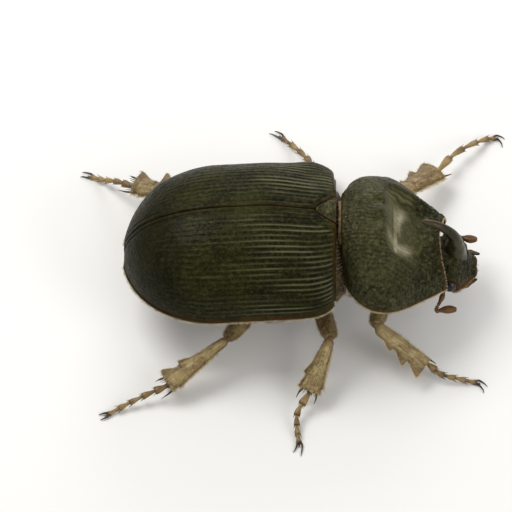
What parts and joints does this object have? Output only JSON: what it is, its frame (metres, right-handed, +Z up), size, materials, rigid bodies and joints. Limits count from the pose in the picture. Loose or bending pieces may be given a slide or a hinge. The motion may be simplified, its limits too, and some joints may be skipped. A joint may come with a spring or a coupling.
{
  "type": "rhinoceros beetle",
  "caption": "Life-size still model of a male rhinoceros beetle standing on spread legs, with glossy striped wing cases, a hollowed neck shield and a short curved horn.",
  "frame": {"origin": "on the floor, at the middle of the model's outline seen from above", "axes": "+X towards the head, +Y towards the animal's left side, +Z up"},
  "size_m": [0.0462, 0.0428, 0.0165],
  "materials": {
    "shell": "glossy blackish olive-brown chitin",
    "shield": "satin dark olive chitin, finely punctured",
    "underside": "reddish-brown chitin",
    "limb": "tan-ochre chitin with darker edges",
    "foot": "ochre-brown chitin",
    "eye": "glossy black",
    "feeler": "chestnut-brown chitin"
  },
  "bodies": {
    "root": {"abdomen": "underside", "antenna_club_left": "feeler", "antenna_club_right": "feeler", "antenna_left": "feeler", "antenna_right": "feeler", "coxa_front_left": "underside", "coxa_front_right": "underside", "coxa_hind_left": "underside", "coxa_hind_right": "underside", "coxa_middle_left": "underside", "coxa_middle_right": "underside", "elytron_left": "shell", "elytron_right": "shell", "eye_left": "eye", "eye_right": "eye", "femur_front_left": "limb", "femur_front_right": "limb", "femur_hind_left": "limb", "femur_hind_right": "limb", "femur_middle_left": "limb", "femur_middle_right": "limb", "head": "shield", "horn": "shell", "mandible_left": "shell", "mandible_right": "shell", "palp_left": "feeler", "palp_right": "feeler", "pronotum": "shield", "prosternum": "underside", "pygidium": "underside", "scutellum": "shield", "tarsus_front_left": "foot", "tarsus_front_right": "foot", "tarsus_hind_left": "foot", "tarsus_hind_right": "foot", "tarsus_middle_left": "foot", "tarsus_middle_right": "foot", "thorax_under": "underside", "tibia_front_left": "limb", "tibia_front_right": "limb", "tibia_hind_left": "limb", "tibia_hind_right": "limb", "tibia_middle_left": "limb", "tibia_middle_right": "limb"}
  },
  "joints": []
}
